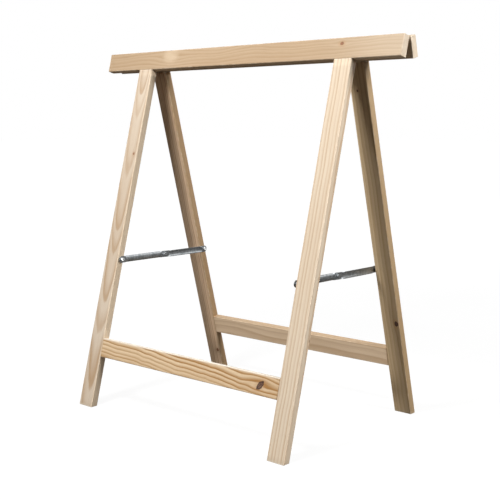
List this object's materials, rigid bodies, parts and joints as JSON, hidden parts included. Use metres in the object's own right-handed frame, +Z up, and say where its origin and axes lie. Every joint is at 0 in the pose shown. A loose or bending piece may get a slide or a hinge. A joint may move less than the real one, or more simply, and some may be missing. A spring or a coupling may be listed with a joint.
{
  "type": "folding sawhorse",
  "caption": "Wooden sawhorse of hinged leg frames, each a rail on splayed legs with a low stretcher; jointed steel stays hold it open and fold up as it closes flat.",
  "frame": {"origin": "on the floor under the middle of the hinge line, with the sawhorse open", "axes": "+X along the rails, -Y towards the front frame, +Z up"},
  "size_m": [0.78, 0.4258, 0.75],
  "materials": {
    "pine": "planed and untreated, with eased edges",
    "dowel_beech": "turned, untreated",
    "hinge_steel": "zinc plated",
    "screw_zinc": "bright zinc plated",
    "stay_zinc": "blue zinc plated pressed strip"
  },
  "bodies": {
    "front_frame": {"front_rail": "pine", "front_left_leg": "pine", "front_right_leg": "pine", "front_stretcher": "pine", "front_rail_dowels": "dowel_beech", "front_stretcher_dowels": "dowel_beech", "hinge_left_front_leaf": "hinge_steel", "hinge_right_front_leaf": "hinge_steel", "front_hinge_screws": "screw_zinc", "stay_left_front_screw": "screw_zinc", "stay_left_front_spacer": "stay_zinc", "stay_right_front_screw": "screw_zinc", "stay_right_front_spacer": "stay_zinc", "hinge_left_pin": "hinge_steel", "hinge_right_pin": "hinge_steel"},
    "rear_frame": {"rear_rail": "pine", "rear_left_leg": "pine", "rear_right_leg": "pine", "rear_stretcher": "pine", "rear_rail_dowels": "dowel_beech", "rear_stretcher_dowels": "dowel_beech", "hinge_left_rear_leaf": "hinge_steel", "hinge_right_rear_leaf": "hinge_steel", "rear_hinge_screws": "screw_zinc", "stay_left_rear_screw": "screw_zinc", "stay_left_rear_spacer": "stay_zinc", "stay_right_rear_screw": "screw_zinc", "stay_right_rear_spacer": "stay_zinc"},
    "left_front_arm": {"stay_left_front_arm": "stay_zinc", "stay_left_front_rivet": "stay_zinc"},
    "left_rear_arm": {"stay_left_rear_arm": "stay_zinc", "stay_left_rear_rivet": "stay_zinc"},
    "right_front_arm": {"stay_right_front_arm": "stay_zinc", "stay_right_front_rivet": "stay_zinc"},
    "right_rear_arm": {"stay_right_rear_arm": "stay_zinc", "stay_right_rear_rivet": "stay_zinc"}
  },
  "joints": [
    {"name": "fold", "type": "hinge", "parent": "front_frame", "child": "rear_frame", "pos_m": [0, 0, 0.74782], "axis": [-1, 0, 0], "range_deg": [0, 29.2]},
    {"name": "left_front_arm_turn", "type": "hinge", "parent": "front_frame", "child": "left_front_arm", "pos_m": [-0.241, -0.12462, 0.3071], "axis": [1, 0, 0], "range_deg": [0, 71.04]},
    {"name": "left_rear_arm_turn", "type": "hinge", "parent": "rear_frame", "child": "left_rear_arm", "pos_m": [-0.241, 0.12462, 0.3071], "axis": [-1, 0, 0], "range_deg": [0, 71.04]},
    {"name": "right_front_arm_turn", "type": "hinge", "parent": "front_frame", "child": "right_front_arm", "pos_m": [0.241, -0.12462, 0.3071], "axis": [1, 0, 0], "range_deg": [0, 71.04]},
    {"name": "right_rear_arm_turn", "type": "hinge", "parent": "rear_frame", "child": "right_rear_arm", "pos_m": [0.241, 0.12462, 0.3071], "axis": [-1, 0, 0], "range_deg": [0, 71.04]}
  ],
  "couplings": [
    {"joint": "left_front_arm_turn", "follows": "fold", "ratio": 2.4325},
    {"joint": "left_rear_arm_turn", "follows": "fold", "ratio": 2.4325},
    {"joint": "right_front_arm_turn", "follows": "fold", "ratio": 2.4325},
    {"joint": "right_rear_arm_turn", "follows": "fold", "ratio": 2.4325}
  ]
}
